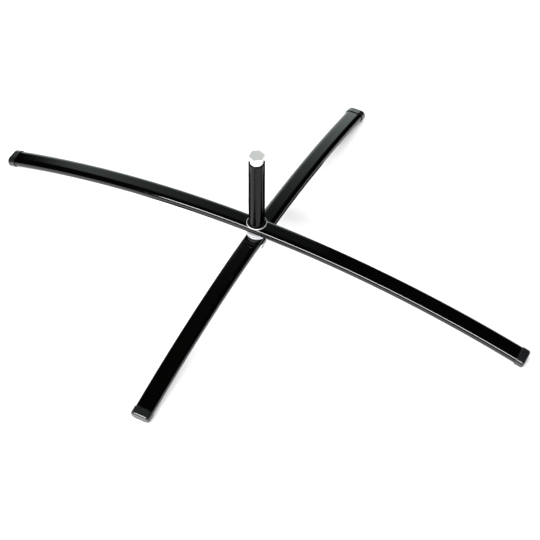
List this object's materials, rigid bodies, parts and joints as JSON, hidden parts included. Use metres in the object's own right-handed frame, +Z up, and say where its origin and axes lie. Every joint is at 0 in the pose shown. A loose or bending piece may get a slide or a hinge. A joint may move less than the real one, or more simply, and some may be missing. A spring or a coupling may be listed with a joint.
{
  "type": "folding cross base",
  "caption": "Folding floor base of bowed flat-oval tubes crossed on a bolt, with capped ends and a turning upright spindle at the centre.",
  "frame": {"origin": "on the floor, on the axis of the bolt, in the middle of the base", "axes": "+X along the upper, longer arm; +Y along the lower, shorter arm; +Z up the bolt"},
  "size_m": [0.9226, 0.7358, 0.2272],
  "materials": {
    "black_coat": "glossy black powder coat on steel tube",
    "black_plastic": "moulded black plastic, satin",
    "zinc_plate": "bright zinc plate on steel",
    "bright_plate": "bright plated steel bolt",
    "white_nylon": "natural white nylon"
  },
  "bodies": {
    "lower_bar": {"lower_arm": "black_coat", "lower_cap_far": "black_plastic", "lower_cap_near": "black_plastic", "lower_crush_tube": "zinc_plate", "arm_washer_lower": "zinc_plate", "friction_disc": "black_plastic", "bottom_washer": "zinc_plate", "seat_washer": "zinc_plate", "pivot_bolt": "bright_plate", "lock_nut": "zinc_plate", "nut_insert": "white_nylon"},
    "upper_bar": {"upper_arm": "black_coat", "upper_cap_right": "black_plastic", "upper_cap_left": "black_plastic", "upper_crush_tube": "zinc_plate", "arm_washer_upper": "zinc_plate"},
    "spindle": {"spindle_sleeve": "black_coat", "upper_bush": "white_nylon", "lower_bush": "white_nylon"}
  },
  "joints": [
    {"name": "arm_fold", "type": "hinge", "parent": "lower_bar", "child": "upper_bar", "pos_m": [0, 0, 0.0585], "axis": [0, 0, 1], "range_deg": [-90, 90]},
    {"name": "spindle_spin", "type": "hinge", "parent": "lower_bar", "child": "spindle", "pos_m": [0, 0, 0.1408], "axis": [0, 0, 1], "continuous": true}
  ]
}
